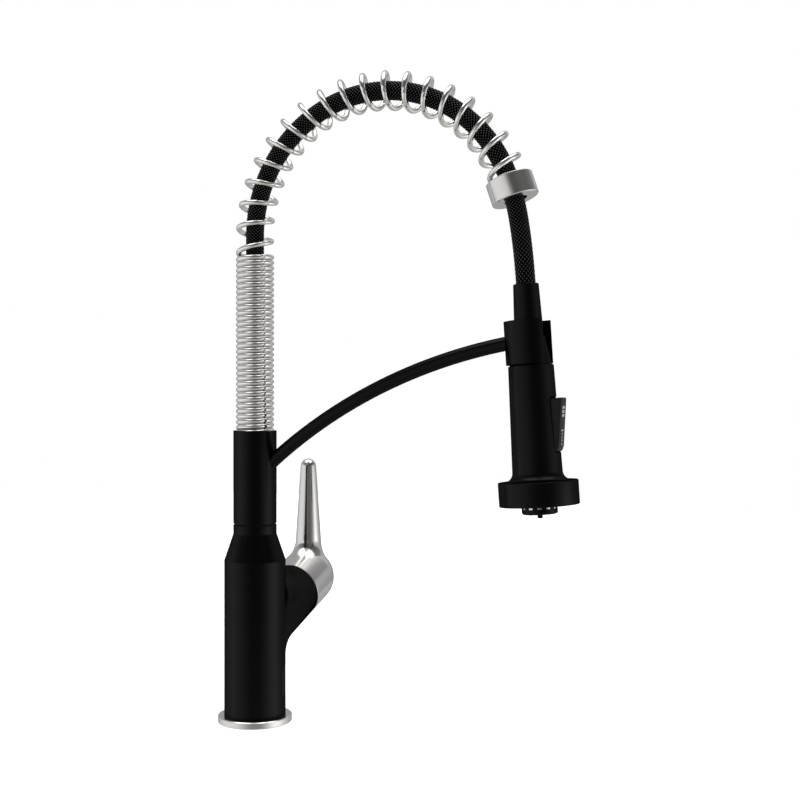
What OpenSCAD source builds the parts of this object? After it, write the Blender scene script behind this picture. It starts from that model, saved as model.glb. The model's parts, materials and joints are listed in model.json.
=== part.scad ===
// Spring-neck pull-down kitchen faucet. Millimetres, +Z up.
// Origin: on the body's axis at the deck, +X towards the spout, +Y towards the handle.

/* [Body] */
// Outer diameter of the upright body
body_d = 46; // [44:0.5:48]
// Height at which the body starts to taper
body_taper_z = 121; // [118:1:124]
// Outer diameter of the neck and the swivelling sleeve
neck_d = 32.5; // [32:0.5:34]
// Outer diameter of the ring at the deck
ring_d = 55.4; // [54:0.2:60]
// Thickness of the ring at the deck
ring_t = 5; // [3.5:0.5:5.5]

/* [Handle] */
// Upward tilt of the handle hub
hub_tilt = 18; // [16:1:20]
// Outer diameter of the handle hub and cap
hub_d = 45; // [44:0.5:46]
// Length of the hub from the body's axis
hub_len = 65.4; // [64:0.2:67]
// Height of the lever's tip above the deck
lever_tip_z = 193.3; // [180:0.1:200]

/* [Spring and hose] */
// Outer diameter of the support spring
spring_d = 28.7; // [28.5:0.1:29.5]
// Diameter of the spring's wire
wire_d = 4; // [3.6:0.1:4]
// Number of close-wound turns above the sleeve
close_turns = 33; // [20:0.5:33]
// Distance between open turns along the arch
open_pitch = 15.95; // [14:0.05:18]
// Diameter of the spray hose
hose_d = 14; // [12:0.5:14]

/* [Spray head] */
// Diameter of the bell at the outlet
bell_d = 55.3; // [54:0.1:58]
// Outward lean of the spray head
head_tilt = 3.65; // [3:0.05:4]
// Number of jets in the outer ring
outer_jets = 24; // [12:2:24]

/* [Hidden] */
$fn = 64;

slip = 0.05;     // radial clearance between fixed fitted pieces
gap = 0.1;       // clearance between faces
through = 1;     // how far a cutting tool runs past a face

black = [0.08, 0.08, 0.08];
steel = [0.78, 0.77, 0.75];
brass = [0.72, 0.58, 0.32];
rubber = [0.15, 0.15, 0.16];
nylon = [0.88, 0.88, 0.85];

// Body and deck socket
body_r = body_d / 2;
neck_r = neck_d / 2;
body_top_z = 147.8;
taper_end_z = 141;
cavity_r = body_r - 3;
cavity_z = [22, 116];
socket_r = 14;
spigot_r = 19.5;
gasket_r = [21, 25];
gasket_t = 1.2;

// Valve block in the body's cavity
block_z = [34, 108];
block_r = cavity_r - 0.2;
inlet_x = 7.5;
inlet_r = 4.5;
inlet_len = 12;
port_r = 2.6;
outlet_r = 6;
outlet_z = 92;

// Hub, cartridge and handle, along the hub's axis from the body's axis
hub_z = 68.3;
hub_r = hub_d / 2;
hub_bore_r = 17.6;
seat_l = 27.9;
cartridge_l = [28, 58];
cartridge_r = 17.5;
disc_pocket_r = 12.5;
disc_l = [46, 48.2, 52];
nut_l = [56.5, 61];
cap_l = hub_len + 0.5;
cap_end_l = 91.6;
cap_cavity_r = 19.5;
cap_cavity_l = 82;
stem_r = 4;
stem_l = [52.6, 79];
boss_r = 8;
boss_l = 69;
screw_l = 75;
grub_r = 2.5;
lever_y = 90.7;
lever_tip_r = 6.35;
lever_root_r = 10.3;
lever_root_z = 128;
flare_r = 16;
flare_steps = 6;
flare_turn = 52;

// Swivel joint
sleeve_z = [148.9, 218.5];
sleeve_bore_r = 13.6;
swivel_stem_r = [7.5, 10.95];
swivel_stem_z = [112, 205];
stem_flange_r = 14;
bushing_r = [11, 13.55];
thrust_washer_r = [11.05, 15];
lower_bushing_z = [150, 164];
upper_bushing_z = [188, 201];
groove_z = 157;
groove_r = 12.3;
circlip_z = [202.2, 203.6];
circlip_r = [10, 13];
sleeve_screw_r = 2;
anchor_z = 206;
anchor_spigot_r = 9.8;
anchor_top_z = 238;
hose_bore_r = 7.5;
spring_pocket_r = 14.7;
spring_pocket_z = 214.2;

// Arch: a straight rise, two quarter-like arcs and the hose's tail into the spray head
arch_x = 100;
rise_z = 365;
near_r = 100;
far_r = 105.5;
far_end = 19.7;
far_z = rise_z + near_r - far_r;
near_len = near_r * PI / 2;
far_len = far_r * (90 - far_end) * PI / 180;
arch_end_s = rise_z + near_len + far_len;
tail_pull = 26;
tail_len = 75;

// Spring
coil_r = spring_d / 2 - wire_d / 2;
open_s = 350.85;
close_pitch = 4.075;
first_pitch = 18.05;
foot_s = open_s - close_turns * close_pitch;
tip_s = arch_end_s - wire_d / 2 - 0.3;
open_turns = 1 + (tip_s - open_s - first_pitch) / open_pitch;
wire_sides = 6;
close_steps = 12;
open_steps = 14;

// Hose
hose_r = hose_d / 2;
hose_sides = 12;
hose_start_z = 112;
hose_step = 12;

// Collar at the spring's end
collar_r = 16.75;
collar_len = 16;
collar_tilt = 18.6;
collar_bore_r = 8.2;
collar_lip = 2;
grommet_depth = [5, 11];
grommet_r = [7.6, 9.4];

// Spray head, heights along its own axis from the bell's lower edge
head_x = 221.3;
head_z = 169.2;
bell_r = bell_d / 2;
bell_h = 16.8;
grip_r = [17.3, 15.7];
grip_top_h = 96.2;
edge_round = 0.3;
bell_bevel = [0.5, 0.8];
cone_r = [14.6, 11];
cone_top_h = 116;
fillet_r = 6.2;
fillet_steps = 8;
neck_low_r = 9.75;
neck_top_r = 8.85;
neck_h = [116.1, 127.7, 152.6];
head_bore_r = 8;
tube_r = [5, 7.9];
bell_cavity_r = 25.2;
bell_cavity_h = 10.6;
coupling_h = [117.7, 139.7];
coupling_r = [3.5, 7.5];
washer_r = [5.2, 7.2];
nozzle_r = 12.4;
nozzle_low_h = -6;
nozzle_top_h = 6.3;
slot_count = 12;
slot_w = 3.1;
slot_h = [-2.3, -0.1];
pin_low_h = -8.8;
pin_r = 1.8;
insert_low_h = -5.4;
nozzle_bore_r = 9.6;

// Rocker on the spray head's front
rocker_half_w = 7.2;
rocker_pocket_w = 7.6;
pocket_x = 9.3;
pocket_h = [35.6, 74];
pivot_x = 11.8;
pivot_h = 54.2;
pivot_r = 1.25;
pivot_half_len = 9.1;

// Clip that holds the spray head
clip_r = 17;
clip_h = [97.2, 127.2];
clip_bore_r = [14.85, 11.3];
clip_slot_w = 21.8;
arm_r = 5;
arm_arc_r = 390;
arm_centre = [265.4, -103.5];
arm_root_turn = 130.6;
arm_tip_turn = 99.3;
arm_root_trim_r = 13.75;
arm_tip_trim_r = 14.6;
arm_root_at = 129.7;
arm_tip_at = 100.13;
arm_socket_r = arm_r + 0.2;
arm_socket_len = 20;
clip_screw_r = 1.5;
clip_screw_head_r = 2.2;
clip_screw_head_at = 3.9;
clip_screw_head_t = 0.8;
clip_screw_len = 8;

// --- Placement helpers ---

// Puts local +Z along the hub's axis, starting at distance l from the body's axis
module on_hub(l = 0)
    translate([0, 0, hub_z]) rotate([hub_tilt - 90, 0, 0]) translate([0, 0, l]) children();

// Puts local +Z up the spray head's axis, starting at height h above the bell's edge
module on_head(h = 0)
    translate([head_x, 0, head_z]) rotate([0, -head_tilt, 0]) translate([0, 0, h]) children();

// Puts local +Z up the collar's axis, starting at its top face
module on_collar()
    translate(point_at(arch_end_s)) rotate([0, -collar_tilt, 0]) children();

module tube(r_out, r_in, h)
    difference() {
        cylinder(r = r_out, h = h);
        translate([0, 0, -through]) cylinder(r = r_in, h = h + 2 * through);
    }

module torus(ring_r, section_r)
    rotate_extrude() translate([ring_r, 0]) circle(r = section_r, $fn = 24);

// Slot shape with round ends, w wide and h tall
module obround(w, h) {
    square([w, h - w], center = true);
    for (side = [-1, 1]) translate([0, side * (h - w) / 2]) circle(d = w);
}

// --- The arch's centreline ---

// Turn of the centreline's outward normal: 180 on the rise, 90 at the top
function turn_at(s) =
    s <= rise_z ? 180
    : s <= rise_z + near_len ? 180 - (s - rise_z) / near_r * 180 / PI
    : 90 - (s - rise_z - near_len) / far_r * 180 / PI;

function arch_point(s) =
    s <= rise_z ? [0, 0, s]
    : s <= rise_z + near_len
        ? [arch_x + near_r * cos(turn_at(s)), 0, rise_z + near_r * sin(turn_at(s))]
        : [arch_x + far_r * cos(turn_at(s)), 0, far_z + far_r * sin(turn_at(s))];

neck_top = [head_x - sin(head_tilt) * neck_h[2], 0, head_z + cos(head_tilt) * neck_h[2]];
tail_start = arch_point(arch_end_s);
tail_mid = tail_start + tail_pull * [sin(far_end), 0, -cos(far_end)];

// Curve of the hose from the arch's end to the top of the hose nut, t from 0 to 1
function tail_point(t) =
    pow(1 - t, 2) * tail_start + 2 * t * (1 - t) * tail_mid + pow(t, 2) * neck_top;

function point_at(s) = s <= arch_end_s ? arch_point(s) : tail_point((s - arch_end_s) / tail_len);

function unit(v) = v / norm(v);

// Tube of n sides around a list of points; each ring stands across its own direction
module sweep(points, ring_r, n, sides) {
    last = len(points) - 1;
    way = [for (i = [0:last]) unit(points[min(i + 1, last)] - points[max(i - 1, 0)])];
    across = [for (i = [0:last]) unit(sides[i] - (sides[i] * way[i]) * way[i])];
    verts = [for (i = [0:last], k = [0:n - 1])
        points[i] + ring_r * (cos(360 * k / n) * across[i] + sin(360 * k / n) * cross(way[i], across[i]))];
    walls = [for (i = [0:last - 1], k = [0:n - 1])
        each let (a = i * n + k, b = i * n + (k + 1) % n) [[a, b + n, b], [a, a + n, b + n]]];
    start_cap = [for (k = [0:n - 1]) k];
    end_cap = [for (k = [n - 1:-1:0]) last * n + k];
    polyhedron(points = verts, faces = concat(walls, [start_cap], [end_cap]), convexity = 10);
}

// --- Base body ---

module base_ring() {
    chamfer = 0.6;
    foot = 0.4;
    r = ring_d / 2;
    color(steel) difference() {
        rotate_extrude()
            polygon([
                [spigot_r + slip, 0], [r - foot, 0], [r, foot],
                [r, ring_t - chamfer], [r - chamfer, ring_t], [spigot_r + slip, ring_t]
            ]);
        translate([0, 0, -through])
            tube(gasket_r[1], gasket_r[0], through + gasket_t);
    }
}

module base_gasket() color(rubber) tube(gasket_r[1] - gap, gasket_r[0] + gap, gasket_t - gap);

module sensor_place() {
    sensor_turn = 18;
    sensor_z = 30;
    rotate([0, 0, sensor_turn]) translate([0, 0, sensor_z]) rotate([90, 0, 90]) children();
}

module body_shell() {
    recess = 1.3;
    groove = 0.6;
    window_w = 20;
    window_h = 24;
    color(black) difference() {
        rotate_extrude()
            polygon([
                [0, 0], [spigot_r, 0], [spigot_r, ring_t + gap], [body_r, ring_t + gap],
                [body_r, body_taper_z], [neck_r, taper_end_z], [neck_r, body_top_z], [0, body_top_z]
            ]);
        translate([0, 0, -through]) cylinder(r = socket_r, h = cavity_z[0] + 2 * through);
        translate([0, 0, cavity_z[0]]) cylinder(r = cavity_r, h = cavity_z[1] - cavity_z[0]);
        cylinder(r = swivel_stem_r[1] + slip, h = body_top_z + through);
        on_hub() cylinder(r = hub_bore_r, h = hub_len + through);
        sensor_place() translate([0, 0, body_r - recess])
            linear_extrude(recess + through) obround(window_w + groove, window_h + groove);
    }
}

// Side hub, brazed to the body and ending at its surface
module handle_hub() color(black)
    difference() {
        on_hub() tube(hub_r, hub_bore_r, hub_len);
        cylinder(r = body_r + 0.02, h = body_top_z);
    }

module sensor_window() {
    depth = 1.1;
    color(rubber) intersection() {
        sensor_place() translate([0, 0, body_r - depth - gap])
            linear_extrude(depth + through) obround(20, 24);
        cylinder(r = body_r - slip, h = body_taper_z, $fn = 360);
    }
}

module valve_block() {
    inlet_run_r = 3.2;
    inlet_run_top = 71.5;
    outlet_rise = 8;
    outlet_run_r = 5.2;
    outlet_run_z = 72.4;
    color(brass) difference() {
        union() {
            translate([0, 0, block_z[0]]) cylinder(r = block_r, h = block_z[1] - block_z[0]);
            on_hub() cylinder(r = cartridge_r, h = seat_l);
        }
        for (side = [-1, 1]) {
            translate([side * inlet_x, 0, block_z[0] - through])
                cylinder(r = inlet_r, h = inlet_len + through);
            translate([side * inlet_x, 0, block_z[0]])
                cylinder(r = inlet_run_r, h = inlet_run_top - block_z[0]);
            on_hub() translate([side * inlet_x, 0, 0]) cylinder(r = port_r, h = seat_l + through);
        }
        on_hub() translate([0, -outlet_rise, 0]) cylinder(r = port_r, h = seat_l + through);
        translate([0, 0, outlet_run_z]) cylinder(r = outlet_run_r, h = block_z[1] - outlet_run_z + through);
        translate([0, 0, outlet_z]) cylinder(r = outlet_r, h = block_z[1] - outlet_z + through);
    }
}

module cartridge_body() {
    shoulder_r = 14.5;
    color(nylon) difference() {
        union() {
            on_hub(cartridge_l[0]) cylinder(r = cartridge_r, h = nut_l[0] - gap - cartridge_l[0]);
            on_hub(nut_l[0] - 2 * gap) cylinder(r = shoulder_r, h = cartridge_l[1] - nut_l[0] + 2 * gap);
        }
        on_hub(disc_l[0] - gap) cylinder(r = disc_pocket_r, h = hub_len);
        for (side = [-1, 1])
            on_hub(cartridge_l[0] - through) translate([side * inlet_x, 0, 0])
                cylinder(r = port_r, h = hub_len - cartridge_l[0]);
    }
}

module fixed_disc() {
    color("white") difference() {
        on_hub(disc_l[0]) cylinder(r = disc_pocket_r - gap, h = disc_l[1] - disc_l[0] - gap);
        for (side = [-1, 1])
            on_hub(disc_l[0] - through) translate([side * inlet_x, 0, 0])
                cylinder(r = port_r, h = disc_l[1] - disc_l[0] + 2 * through);
    }
}

module turning_disc() color([0.55, 0.57, 0.6])
    on_hub(disc_l[1]) cylinder(r = disc_pocket_r - 0.3, h = disc_l[2] - disc_l[1]);

module cartridge_nut() {
    drive_r = 14.6;
    notch = [4, 3, 3];
    color(brass) on_hub(nut_l[0]) difference() {
        tube(hub_bore_r - slip, drive_r, nut_l[1] - nut_l[0]);
        for (turn = [0:60:300])
            rotate([0, 0, turn]) translate([drive_r, 0, nut_l[1] - nut_l[0]])
                cube(notch, center = true);
    }
}

module hose_ferrule() {
    spigot_len = 15.8;
    flange_r = 9;
    flange_t = 3.8;
    color(brass) difference() {
        union() {
            translate([0, 0, block_z[1] - spigot_len])
                cylinder(r = outlet_r - gap, h = spigot_len + slip + through);
            translate([0, 0, block_z[1] + slip]) cylinder(r = flange_r, h = flange_t);
        }
        translate([0, 0, outlet_z]) cylinder(r = port_r + 0.5, h = 2 * (spigot_len + flange_t));
    }
}

module swivel_stem() {
    flange_t = 3.9;
    color(brass) difference() {
        union() {
            translate([0, 0, swivel_stem_z[0]])
                cylinder(r = swivel_stem_r[1], h = swivel_stem_z[1] - swivel_stem_z[0]);
            translate([0, 0, swivel_stem_z[0]]) cylinder(r = stem_flange_r, h = flange_t);
        }
        translate([0, 0, swivel_stem_z[0] - through]) cylinder(r = swivel_stem_r[0], h = swivel_stem_z[1]);
        translate([0, 0, circlip_z[0] - gap])
            tube(circlip_r[1], circlip_r[0] - gap, circlip_z[1] - circlip_z[0] + 2 * gap);
    }
}

module thrust_washer() color(rubber)
    translate([0, 0, body_top_z + gap])
        tube(thrust_washer_r[1], thrust_washer_r[0], sleeve_z[0] - body_top_z - 2 * gap);

module lower_bushing() color(nylon)
    difference() {
        translate([0, 0, lower_bushing_z[0]])
            tube(bushing_r[1], bushing_r[0], lower_bushing_z[1] - lower_bushing_z[0]);
        translate([0, 0, groove_z - sleeve_screw_r - 0.2])
            tube(bushing_r[1] + through, groove_r, 2 * sleeve_screw_r + 0.4);
    }

module upper_bushing() color(nylon)
    translate([0, 0, upper_bushing_z[0]])
        tube(bushing_r[1], bushing_r[0], upper_bushing_z[1] - upper_bushing_z[0]);

module swivel_o_rings() {
    o_ring_z = [171, 181];
    color(rubber)
        for (z = o_ring_z)
            translate([0, 0, z]) torus((swivel_stem_r[1] + sleeve_bore_r) / 2, 1.25);
}

module stem_circlip() {
    opening = 5;
    color(steel) translate([0, 0, circlip_z[0]]) difference() {
        tube(circlip_r[1], circlip_r[0], circlip_z[1] - circlip_z[0]);
        translate([circlip_r[1], 0, 0]) cube([circlip_r[1], opening, circlip_r[1]], center = true);
    }
}

// --- Handle ---

// Half outline of the lever around its own upright axis
function lever_outline() = concat(
    [for (a = [90:-15:0]) [lever_tip_r * cos(a), lever_tip_z - lever_tip_r * (1 - sin(a))]],
    [for (i = [0:flare_steps]) let (a = flare_turn * i / flare_steps)
        [lever_root_r + flare_r * (1 - cos(a)), lever_root_z - flare_r * sin(a)]],
    [[18, 112.2], [19.2, 108.5], [19.6, 105], [14, 98], [0, 96]]
);

module handle_lever() color(steel)
    difference() {
        union() {
            on_hub(cap_l) cylinder(r = hub_r, h = cap_end_l - cap_l);
            on_hub(cap_end_l) sphere(r = hub_r);
            translate([0, lever_y, 0]) rotate_extrude() polygon(lever_outline());
        }
        on_hub() cylinder(r = hub_r + through, h = cap_l);
        on_hub(boss_l) difference() {
            translate([0, 0, cap_l - boss_l - through])
                cylinder(r = cap_cavity_r, h = cap_cavity_l - cap_l + through);
            cylinder(r = boss_r, h = hub_len);
        }
        on_hub(stem_l[0]) cylinder(r = stem_r + slip, h = stem_l[1] - stem_l[0] + gap);
        on_hub(screw_l) rotate([-90, 0, 0]) cylinder(r = grub_r + slip, h = hub_d);
    }

module cartridge_stem() color(brass)
    on_hub(stem_l[0]) cylinder(r = stem_r, h = stem_l[1] - stem_l[0]);

module handle_set_screw() {
    key_r = 1.25;
    length = 6;
    color(steel) on_hub(screw_l) rotate([-90, 0, 0]) translate([0, 0, stem_r + gap]) difference() {
        cylinder(r = grub_r, h = length);
        translate([0, 0, length / 2]) cylinder(r = key_r, h = length, $fn = 6);
    }
}

module index_plug() {
    plug_t = 2.6;
    sink = 0.3;
    color(black) on_hub(screw_l) rotate([-90, 0, 0])
        translate([0, 0, hub_r - plug_t - sink]) cylinder(r = grub_r, h = plug_t);
}

// --- Spout body ---

module swivel_sleeve() {
    color(black) difference() {
        translate([0, 0, sleeve_z[0]]) tube(neck_r, sleeve_bore_r, sleeve_z[1] - sleeve_z[0]);
        translate([0, 0, spring_pocket_z]) cylinder(r = spring_pocket_r, h = sleeve_z[1]);
        translate([0, 0, groove_z]) rotate([0, -90, 0]) cylinder(r = sleeve_screw_r + slip, h = neck_d);
        arm_socket(arm_root_at);
    }
}

module sleeve_set_screw() {
    key_r = 1.1;
    tip_r = groove_r + 0.2;
    color(rubber) translate([0, 0, groove_z]) rotate([0, -90, 0]) difference() {
        translate([0, 0, tip_r]) cylinder(r = sleeve_screw_r, h = neck_r - tip_r - 0.5);
        translate([0, 0, neck_r - 2]) cylinder(r = key_r, h = 3, $fn = 6);
    }
}

module spring_anchor() {
    color(brass) difference() {
        union() {
            translate([0, 0, anchor_z]) cylinder(r = sleeve_bore_r - slip, h = spring_pocket_z - anchor_z);
            translate([0, 0, anchor_z]) cylinder(r = anchor_spigot_r, h = anchor_top_z - anchor_z);
        }
        translate([0, 0, anchor_z - through])
            cylinder(r = hose_bore_r, h = anchor_top_z - anchor_z + 2 * through);
    }
}

// Turn of the coil's wire at distance s: close-wound, then one wider first turn, then open
function coil_turn(s) = 360 * (
    s < open_s ? (s - open_s) / close_pitch
    : s < open_s + first_pitch ? (s - open_s) / first_pitch
    : 1 + (s - open_s - first_pitch) / open_pitch
);

function coil_out(s) =
    let (a = coil_turn(s), n = turn_at(s)) cos(a) * [cos(n), 0, sin(n)] + sin(a) * [0, -1, 0];

function coil_point(s) = arch_point(s) + coil_r * coil_out(s);

module support_spring() {
    close_count = close_turns * close_steps;
    open_count = floor(open_turns * open_steps);
    stations = concat(
        [for (i = [0:close_count - 1]) foot_s + i * close_pitch / close_steps],
        [for (i = [0:open_count]) open_s + i * (tip_s - open_s) / open_count]
    );
    color(steel)
        sweep([for (s = stations) coil_point(s)], wire_d / 2, wire_sides, [for (s = stations) coil_out(s)]);
}

module spring_collar() {
    bevel = 0.6;
    lip_slack = 0.3;
    color(steel) on_collar() difference() {
        union() {
            rotate_extrude()
                polygon([
                    [0, -collar_len], [collar_r - bevel, -collar_len], [collar_r, bevel - collar_len],
                    [collar_r, -bevel], [collar_r - bevel, 0], [0, 0]
                ]);
            cylinder(r = coil_r - wire_d / 2 - lip_slack, h = collar_lip);
        }
        translate([0, 0, -collar_len - through])
            cylinder(r = collar_bore_r, h = collar_len + collar_lip + 2 * through);
        translate([0, 0, -grommet_depth[1] - gap])
            cylinder(r = grommet_r[1] + gap, h = grommet_depth[1] - grommet_depth[0] + 2 * gap);
    }
}

module collar_grommet() color(rubber)
    on_collar() translate([0, 0, -grommet_depth[1]])
        tube(grommet_r[1], grommet_r[0], grommet_depth[1] - grommet_depth[0]);

module spray_hose() {
    seat_depth = neck_h[2] - coupling_h[1] - gap;
    count = ceil((arch_end_s + tail_len - hose_start_z) / hose_step);
    run = [for (i = [0:count]) point_at(hose_start_z + i * (arch_end_s + tail_len - hose_start_z) / count)];
    end_point = neck_top + seat_depth * [sin(head_tilt), 0, -cos(head_tilt)];
    route = concat(run, [end_point]);
    color(black) sweep(route, hose_r, hose_sides, [for (p = route) [0, 1, 0]]);
}

// Puts local +Z along the arm at a turn of its arc, pointing to the spray head
module on_arm(turn)
    translate([arm_centre[0] + arm_arc_r * cos(turn), 0, arm_centre[1] + arm_arc_r * sin(turn)])
        rotate([0, 180 - turn, 0]) children();

// Straight socket that the arm's end sits in
module arm_socket(turn)
    on_arm(turn) translate([0, 0, -arm_socket_len / 2]) cylinder(r = arm_socket_r, h = arm_socket_len);

module clip_screw_bore() {
    depth = 2;
    on_arm(arm_tip_at) translate([0, 0, clip_screw_head_at - clip_screw_len - depth])
        cylinder(r = clip_screw_r + slip, h = clip_screw_len + 2 * depth);
}

module support_arm() {
    color(black) difference() {
        translate([arm_centre[0], 0, arm_centre[1]]) rotate([90, 0, 0])
            rotate([0, 0, arm_tip_turn]) rotate_extrude(angle = arm_root_turn - arm_tip_turn, $fn = 180)
                translate([arm_arc_r, 0]) circle(r = arm_r, $fn = 48);
        cylinder(r = arm_root_trim_r, h = 2 * sleeve_z[1]);
        on_head() cylinder(r = arm_tip_trim_r, h = 2 * clip_h[1]);
        clip_screw_bore();
    }
}

module holder_clip() {
    height = clip_h[1] - clip_h[0];
    cone_h = cone_top_h - clip_h[0];
    color(black) difference() {
        on_head(clip_h[0]) difference() {
            rotate_extrude()
                polygon([
                    [clip_bore_r[0], 0], [clip_r, 0], [clip_r, height],
                    [clip_bore_r[1], height], [clip_bore_r[1], cone_h]
                ]);
            translate([0, -clip_slot_w / 2, -through])
                cube([clip_r + through, clip_slot_w, height + 2 * through]);
        }
        difference() {
            arm_socket(arm_tip_at);
            on_head() cylinder(r = arm_tip_trim_r - gap, h = 2 * clip_h[1]);
        }
        clip_screw_bore();
        on_arm(arm_tip_at) translate([0, 0, clip_screw_head_at - gap])
            cylinder(r = clip_screw_head_r + gap, h = clip_r / 2);
    }
}

// Screw from inside the clip into the arm's end
module clip_screw() color(steel)
    on_arm(arm_tip_at) translate([0, 0, clip_screw_head_at]) {
        cylinder(r = clip_screw_head_r, h = clip_screw_head_t);
        translate([0, 0, -clip_screw_len])
            cylinder(r = clip_screw_r, h = clip_screw_len + clip_screw_head_t / 2);
    }

// --- Spray head ---

// Half outline of the grip and bell around the spray head's axis
function head_outline() = concat(
    [[head_bore_r, bell_cavity_h], [bell_cavity_r, bell_cavity_h], [bell_cavity_r, 0]],
    [[bell_r - bell_bevel[0], 0], [bell_r, bell_bevel[0]]],
    [[bell_r, bell_h - bell_bevel[1]], [bell_r - bell_bevel[1], bell_h]],
    [for (i = [0:fillet_steps]) let (a = 90 * i / fillet_steps)
        [grip_r[0] + fillet_r * (1 - sin(a)), bell_h + fillet_r * (1 - cos(a))]],
    [[grip_r[1], grip_top_h - edge_round], [grip_r[1] - edge_round, grip_top_h], [cone_r[0], grip_top_h]],
    [[cone_r[1], cone_top_h], [head_bore_r, cone_top_h]]
);

module head_shell() {
    color(black) on_head() difference() {
        rotate_extrude() polygon(head_outline());
        translate([pocket_x, -rocker_pocket_w, pocket_h[0]])
            cube([bell_r, 2 * rocker_pocket_w, pocket_h[1] - pocket_h[0]]);
        translate([pivot_x, pivot_half_len + gap, pivot_h]) rotate([90, 0, 0])
            cylinder(r = pivot_r + slip, h = 2 * (pivot_half_len + gap));
    }
}

module hose_nut() {
    entry_r = 7.4;
    room_r = 7.6;
    color(black) on_head() rotate_extrude()
        polygon([
            [room_r, neck_h[0]], [neck_low_r, neck_h[0]], [neck_low_r, neck_h[1]],
            [neck_top_r, neck_h[2] - 0.5], [neck_top_r - 0.5, neck_h[2]], [entry_r, neck_h[2]],
            [entry_r, coupling_h[1] + 1], [room_r, coupling_h[1] + gap]
        ]);
}

module hose_coupling() color(brass)
    on_head(coupling_h[0]) tube(coupling_r[1], coupling_r[0], coupling_h[1] - coupling_h[0]);

module hose_washer() color(rubber)
    on_head(cone_top_h + gap) tube(washer_r[1], washer_r[0], coupling_h[0] - cone_top_h - 2 * gap);

module waterway_tube() color(nylon)
    on_head(bell_cavity_h + gap) tube(tube_r[1], tube_r[0], cone_top_h - bell_cavity_h - gap);

module check_valve() {
    valve_h = 100;
    length = 13;
    port_at = 2.4;
    valve_port_r = 1.2;
    color(nylon) on_head(valve_h) difference() {
        cylinder(r = tube_r[0] - slip, h = length);
        for (turn = [0:90:270])
            rotate([0, 0, turn]) translate([port_at, 0, -through])
                cylinder(r = valve_port_r, h = length + 2 * through);
    }
}

module distributor() {
    low = 6.4;
    high = 10.5;
    hole_at = 20;
    hole_r = 1.6;
    color(nylon) on_head(low) difference() {
        cylinder(r = bell_cavity_r - gap, h = high - low);
        translate([0, 0, -through]) cylinder(r = tube_r[0], h = high);
        for (i = [0:11])
            rotate([0, 0, 30 * i]) translate([hole_at, 0, -through])
                cylinder(r = hole_r, h = high, $fn = 24);
    }
}

module jet_plate() {
    plate_h = [3.4, 6.3];
    jet_low = 1;
    jet_r = 0.95;
    rings = [[18, outer_jets - 6], [22.3, outer_jets]];
    color(rubber) on_head() {
        translate([0, 0, plate_h[0]])
            tube(bell_cavity_r - gap, nozzle_r + gap, plate_h[1] - plate_h[0]);
        for (ring = rings, i = [0:ring[1] - 1])
            rotate([0, 0, 360 * i / ring[1]]) translate([ring[0], 0, jet_low])
                cylinder(r = jet_r, h = plate_h[0] - jet_low + 0.5, $fn = 24);
    }
}

module nozzle_housing() {
    skin = 0.3;
    bevel = [0.4, 1.4];
    ring_r = [nozzle_r - 1.35, nozzle_r - skin];
    color(black) on_head() difference() {
        rotate_extrude()
            polygon([
                [nozzle_bore_r, nozzle_low_h], [nozzle_r - bevel[1], nozzle_low_h],
                [nozzle_r - bevel[0], nozzle_low_h + bevel[0]], [nozzle_r, nozzle_low_h + bevel[1]],
                [nozzle_r, nozzle_top_h], [nozzle_bore_r, nozzle_top_h]
            ]);
        translate([0, 0, slot_h[0]]) tube(ring_r[1], ring_r[0], slot_h[1] - slot_h[0]);
        for (i = [0:slot_count - 1])
            rotate([0, 0, 360 * (i + 0.5) / slot_count])
                translate([ring_r[0] + skin, -slot_w / 2, slot_h[0]])
                    cube([nozzle_r - ring_r[0], slot_w, slot_h[1] - slot_h[0]]);
    }
}

module nozzle_ring() color(steel)
    on_head(slot_h[0] + slip) tube(nozzle_r - 0.35, nozzle_r - 1.3, slot_h[1] - slot_h[0] - 2 * slip);

module aerator_insert() {
    high = 5.8;
    hole_at = 6.6;
    hole_r = 1.1;
    color(rubber) on_head(insert_low_h) difference() {
        cylinder(r = nozzle_bore_r - slip, h = high - insert_low_h);
        for (i = [0:11])
            rotate([0, 0, 30 * i]) translate([hole_at, 0, -through])
                cylinder(r = hole_r, h = high - insert_low_h + 2 * through, $fn = 24);
    }
}

module centre_pin() color(black)
    on_head(pin_low_h) cylinder(r = pin_r, h = insert_low_h - gap - pin_low_h);

module rocker_pin() color(steel)
    on_head() translate([pivot_x, pivot_half_len, pivot_h]) rotate([90, 0, 0])
        cylinder(r = pivot_r, h = 2 * pivot_half_len);

module rocker_button() {
    low_h = 36.1;
    high_h = 72.9;
    front_low = 18.1;
    front_high = 21.8;
    color([0.2, 0.2, 0.2]) on_head() difference() {
        translate([0, rocker_half_w, 0]) rotate([90, 0, 0]) linear_extrude(2 * rocker_half_w)
            polygon([
                [12.4, high_h - 0.3], [front_high - 1, high_h], [front_high - 0.3, high_h - 0.3],
                [front_high, high_h - 1.1], [front_low, low_h + 3.6], [front_low - 0.6, low_h + 1.5],
                [front_low - 1.7, low_h + 0.4], [front_low - 3.2, low_h],
                [10, low_h], [9.7, pivot_h - 3], [9.7, pivot_h + 1]
            ]);
        translate([pivot_x, rocker_pocket_w, pivot_h]) rotate([90, 0, 0])
            cylinder(r = pivot_r + slip, h = 2 * rocker_pocket_w);
    }
}

module diverter_spool() {
    disc_t = 2;
    rod_r = 1.5;
    low_h = 41.7;
    length = 22;
    color(nylon) on_head(low_h) {
        cylinder(r = rod_r, h = length);
        for (h = [0, length - disc_t]) translate([0, 0, h]) cylinder(r = tube_r[0] - 0.1, h = disc_t);
    }
}

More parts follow.
